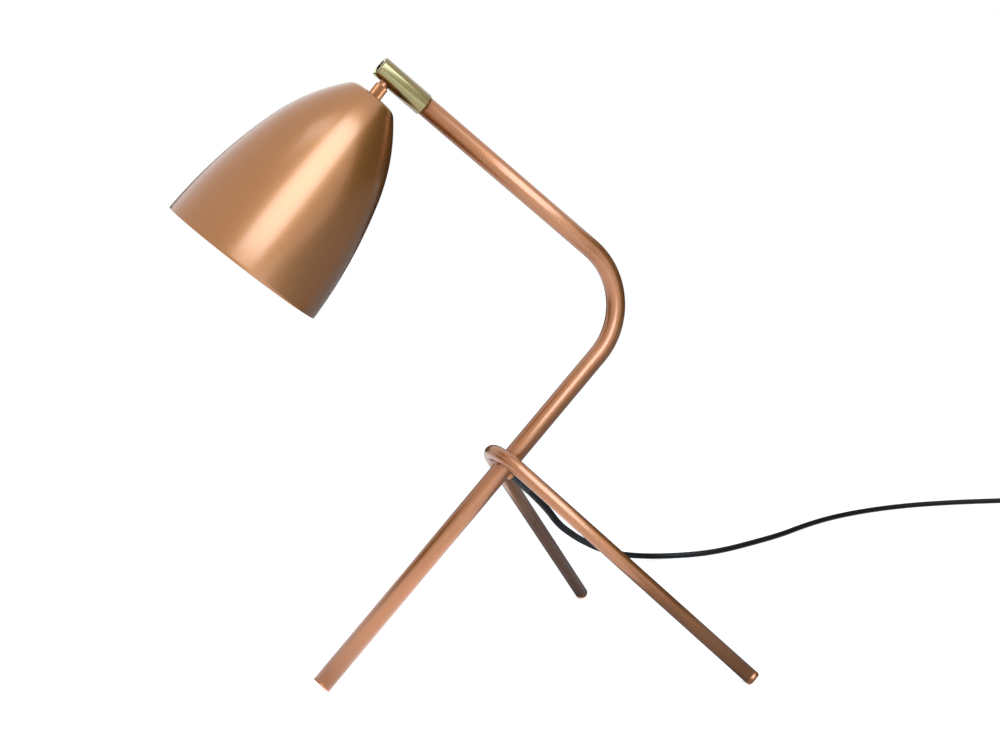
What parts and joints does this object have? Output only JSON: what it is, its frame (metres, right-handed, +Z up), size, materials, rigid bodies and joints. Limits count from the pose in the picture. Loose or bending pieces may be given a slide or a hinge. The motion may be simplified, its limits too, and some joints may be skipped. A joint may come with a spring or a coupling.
{
  "type": "table lamp",
  "caption": "Adjustable table lamp on a bent metal tube and hairpin legs, with a bell-shaped metal shade on a slotted ball joint, and a cord with switch and plug.",
  "frame": {"origin": "on the table, in the middle of the lamp's own box (cord, switch and plug left out)", "axes": "+Z up; the stem and the arm lie in the XZ plane, the front foot and the shade towards -X, the two back legs towards +X; the back legs mirror each other across XZ"},
  "size_m": [1.2948, 0.4861, 0.492],
  "materials": {
    "copper_tube": "satin copper plating on steel tube",
    "copper_shade": "fine turned satin, copper coloured lacquer",
    "weld": "copper plated weld",
    "copper_caps": "satin copper plating on turned steel",
    "copper_knurled": "copper plated, straight knurl",
    "brass_turned": "satin turned",
    "brass_bright": "bright",
    "steel_zinc": "bright zinc plated",
    "spring_steel": "blued",
    "seat_plastic": "natural",
    "holder_plastic": "matt black thermoset",
    "cord_black": "matt black sheath",
    "black_plastic": "fine spark-eroded texture",
    "rocker_plastic": "gloss black",
    "core_brown": "insulation",
    "core_blue": "insulation",
    "bulb_opal": "opal frosted",
    "bulb_cap_metal": "rolled thread"
  },
  "bodies": {
    "stand": {"main_tube": "copper_tube", "leg_rod": "copper_tube", "weld_beads": "weld", "front_foot_plug": "copper_caps", "leg_foot_plugs": "copper_caps", "cord_bush": "copper_caps", "cord_relief": "cord_black", "stem_core_brown": "core_brown", "stem_core_blue": "core_blue", "arm_insert": "steel_zinc", "swivel_bolt": "steel_zinc", "swivel_washer": "steel_zinc", "cord_run": "cord_black", "cord_coil": "cord_black", "coil_tie": "black_plastic", "switch_base": "black_plastic", "switch_cover": "black_plastic", "switch_screws": "steel_zinc", "switch_terminals": "brass_bright", "plug_relief": "black_plastic", "plug_body": "black_plastic", "plug_pins": "brass_bright", "plug_pin_sleeves": "holder_plastic"},
    "sleeve": {"swivel_sleeve": "brass_turned", "disc_springs": "spring_steel", "ball_seat": "seat_plastic"},
    "neck": {"ball_neck": "copper_knurled"},
    "head": {"shade": "copper_shade", "lock_washer": "steel_zinc", "lock_nut": "brass_bright", "holder_cap": "holder_plastic", "holder_body": "holder_plastic", "holder_shell": "brass_bright", "holder_contact": "brass_bright", "head_core_brown": "core_brown", "head_core_blue": "core_blue", "bulb_contact": "steel_zinc", "bulb_cap": "bulb_cap_metal", "bulb_glass": "bulb_opal"},
    "rocker": {"switch_rocker": "rocker_plastic"}
  },
  "joints": [
    {"name": "sleeve_turn", "type": "hinge", "parent": "stand", "child": "sleeve", "pos_m": [-0.02557, 0, 0.47824], "axis": [-0.7649, 0, 0.6441], "range_deg": [-165, 165]},
    {"name": "head_swing", "type": "hinge", "parent": "sleeve", "child": "neck", "pos_m": [-0.02557, 0, 0.47824], "axis": [0.1119, 0.9848, 0.1328], "range_deg": [0, 80]},
    {"name": "shade_turn", "type": "hinge", "parent": "neck", "child": "head", "pos_m": [-0.02557, 0, 0.47824], "axis": [-0.6343, 0.1736, -0.7533], "range_deg": [-175, 175]},
    {"name": "switch_press", "type": "hinge", "parent": "stand", "child": "rocker", "pos_m": [0.92418, 0.23156, 0.011], "axis": [0.4695, 0.8829, 0], "range_deg": [0, 14]}
  ]
}
